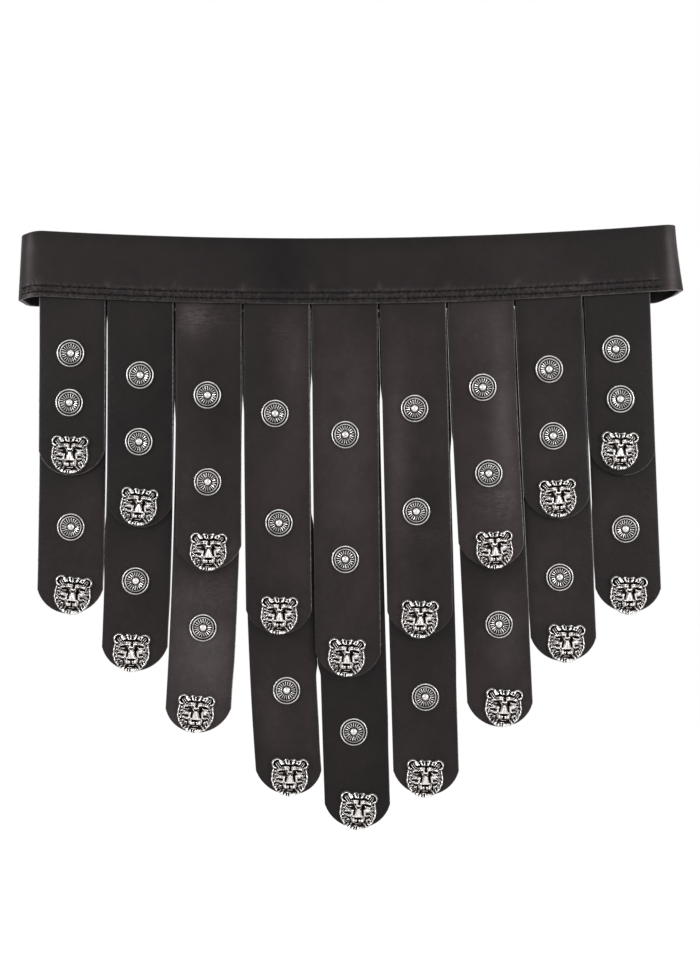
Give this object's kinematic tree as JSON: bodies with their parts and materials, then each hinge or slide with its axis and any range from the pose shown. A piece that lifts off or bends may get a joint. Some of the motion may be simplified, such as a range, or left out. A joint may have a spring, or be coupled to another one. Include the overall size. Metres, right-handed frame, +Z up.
{
  "type": "leather apron belt",
  "caption": "Wide leather waist band with columns of doubled hanging strips, set with round rosettes and lion masks, closed by a prong buckle at the back.",
  "frame": {"origin": "middle of the waist loop, at the band's middle height over its lowest place", "axes": "+Z up, the front faces -Y, +X to the viewer's right"},
  "size_m": [0.493, 0.0609, 0.4551],
  "materials": {
    "band_leather": "satin",
    "strip_leather": "satin",
    "antique_silver": "polished, dark patina in the recesses",
    "buckle_steel": "satin",
    "thread": "waxed"
  },
  "bodies": {
    "root": {"waist_band": "band_leather", "strip_heads": "strip_leather", "seam_threads": "thread", "buckle_frame": "buckle_steel"},
    "prong": {"buckle_prong": "buckle_steel"},
    "keeper": {"keeper_loop": "band_leather"},
    "front_1": {"front_strip_1": "strip_leather", "front_rosettes_1": "antique_silver", "front_lion_1": "antique_silver"},
    "rear_1": {"rear_strip_1": "strip_leather", "rear_rosette_1": "antique_silver", "rear_lion_1": "antique_silver"},
    "front_2": {"front_strip_2": "strip_leather", "front_rosettes_2": "antique_silver", "front_lion_2": "antique_silver"},
    "rear_2": {"rear_strip_2": "strip_leather", "rear_rosette_2": "antique_silver", "rear_lion_2": "antique_silver"},
    "front_3": {"front_strip_3": "strip_leather", "front_rosettes_3": "antique_silver", "front_lion_3": "antique_silver"},
    "rear_3": {"rear_strip_3": "strip_leather", "rear_rosette_3": "antique_silver", "rear_lion_3": "antique_silver"},
    "front_4": {"front_strip_4": "strip_leather", "front_rosettes_4": "antique_silver", "front_lion_4": "antique_silver"},
    "rear_4": {"rear_strip_4": "strip_leather", "rear_rosette_4": "antique_silver", "rear_lion_4": "antique_silver"},
    "front_5": {"front_strip_5": "strip_leather", "front_rosettes_5": "antique_silver", "front_lion_5": "antique_silver"},
    "rear_5": {"rear_strip_5": "strip_leather", "rear_rosette_5": "antique_silver", "rear_lion_5": "antique_silver"},
    "front_6": {"front_strip_6": "strip_leather", "front_rosettes_6": "antique_silver", "front_lion_6": "antique_silver"},
    "rear_6": {"rear_strip_6": "strip_leather", "rear_rosette_6": "antique_silver", "rear_lion_6": "antique_silver"},
    "front_7": {"front_strip_7": "strip_leather", "front_rosettes_7": "antique_silver", "front_lion_7": "antique_silver"},
    "rear_7": {"rear_strip_7": "strip_leather", "rear_rosette_7": "antique_silver", "rear_lion_7": "antique_silver"},
    "front_8": {"front_strip_8": "strip_leather", "front_rosettes_8": "antique_silver", "front_lion_8": "antique_silver"},
    "rear_8": {"rear_strip_8": "strip_leather", "rear_rosette_8": "antique_silver", "rear_lion_8": "antique_silver"},
    "front_9": {"front_strip_9": "strip_leather", "front_rosettes_9": "antique_silver", "front_lion_9": "antique_silver"},
    "rear_9": {"rear_strip_9": "strip_leather", "rear_rosette_9": "antique_silver", "rear_lion_9": "antique_silver"}
  },
  "joints": [
    {"name": "prong_lift", "type": "hinge", "parent": "root", "child": "prong", "pos_m": [-0.012, 0.0195, 0], "axis": [0, 0, 1], "range_deg": [0, 5]},
    {"name": "keeper_slide", "type": "slide", "parent": "root", "child": "keeper", "axis": [1, 0, 0], "range_m": [-0.011, 0.011]},
    {"name": "front_swing_1", "type": "hinge", "parent": "root", "child": "front_1", "pos_m": [-0.2084, -0.0187, -0.02499], "axis": [-1, 0, 0], "range_deg": [0, 75]},
    {"name": "rear_swing_1", "type": "hinge", "parent": "front_1", "child": "rear_1", "pos_m": [-0.2084, -0.0187, -0.02499], "axis": [-1, 0, 0], "range_deg": [-65, 0]},
    {"name": "front_swing_2", "type": "hinge", "parent": "root", "child": "front_2", "pos_m": [-0.1573, -0.0187, -0.02683], "axis": [-1, 0, 0], "range_deg": [0, 75]},
    {"name": "rear_swing_2", "type": "hinge", "parent": "front_2", "child": "rear_2", "pos_m": [-0.1573, -0.0187, -0.02683], "axis": [-1, 0, 0], "range_deg": [-65, 0]},
    {"name": "front_swing_3", "type": "hinge", "parent": "root", "child": "front_3", "pos_m": [-0.1062, -0.0187, -0.02793], "axis": [-1, 0, 0], "range_deg": [0, 75]},
    {"name": "rear_swing_3", "type": "hinge", "parent": "front_3", "child": "rear_3", "pos_m": [-0.1062, -0.0187, -0.02793], "axis": [-1, 0, 0], "range_deg": [-65, 0]},
    {"name": "front_swing_4", "type": "hinge", "parent": "root", "child": "front_4", "pos_m": [-0.0551, -0.0187, -0.0283], "axis": [-1, 0, 0], "range_deg": [0, 75]},
    {"name": "rear_swing_4", "type": "hinge", "parent": "front_4", "child": "rear_4", "pos_m": [-0.0551, -0.0187, -0.0283], "axis": [-1, 0, 0], "range_deg": [-65, 0]},
    {"name": "front_swing_5", "type": "hinge", "parent": "root", "child": "front_5", "pos_m": [-0.004, -0.0187, -0.0283], "axis": [-1, 0, 0], "range_deg": [0, 75]},
    {"name": "rear_swing_5", "type": "hinge", "parent": "front_5", "child": "rear_5", "pos_m": [-0.004, -0.0187, -0.0283], "axis": [-1, 0, 0], "range_deg": [-65, 0]},
    {"name": "front_swing_6", "type": "hinge", "parent": "root", "child": "front_6", "pos_m": [0.0471, -0.0187, -0.02791], "axis": [-1, 0, 0], "range_deg": [0, 75]},
    {"name": "rear_swing_6", "type": "hinge", "parent": "front_6", "child": "rear_6", "pos_m": [0.0471, -0.0187, -0.02791], "axis": [-1, 0, 0], "range_deg": [-65, 0]},
    {"name": "front_swing_7", "type": "hinge", "parent": "root", "child": "front_7", "pos_m": [0.0982, -0.0187, -0.0268], "axis": [-1, 0, 0], "range_deg": [0, 75]},
    {"name": "rear_swing_7", "type": "hinge", "parent": "front_7", "child": "rear_7", "pos_m": [0.0982, -0.0187, -0.0268], "axis": [-1, 0, 0], "range_deg": [-65, 0]},
    {"name": "front_swing_8", "type": "hinge", "parent": "root", "child": "front_8", "pos_m": [0.1493, -0.0187, -0.02495], "axis": [-1, 0, 0], "range_deg": [0, 75]},
    {"name": "rear_swing_8", "type": "hinge", "parent": "front_8", "child": "rear_8", "pos_m": [0.1493, -0.0187, -0.02495], "axis": [-1, 0, 0], "range_deg": [-65, 0]},
    {"name": "front_swing_9", "type": "hinge", "parent": "root", "child": "front_9", "pos_m": [0.2004, -0.0187, -0.02237], "axis": [-1, 0, 0], "range_deg": [0, 75]},
    {"name": "rear_swing_9", "type": "hinge", "parent": "front_9", "child": "rear_9", "pos_m": [0.2004, -0.0187, -0.02237], "axis": [-1, 0, 0], "range_deg": [-65, 0]}
  ]
}
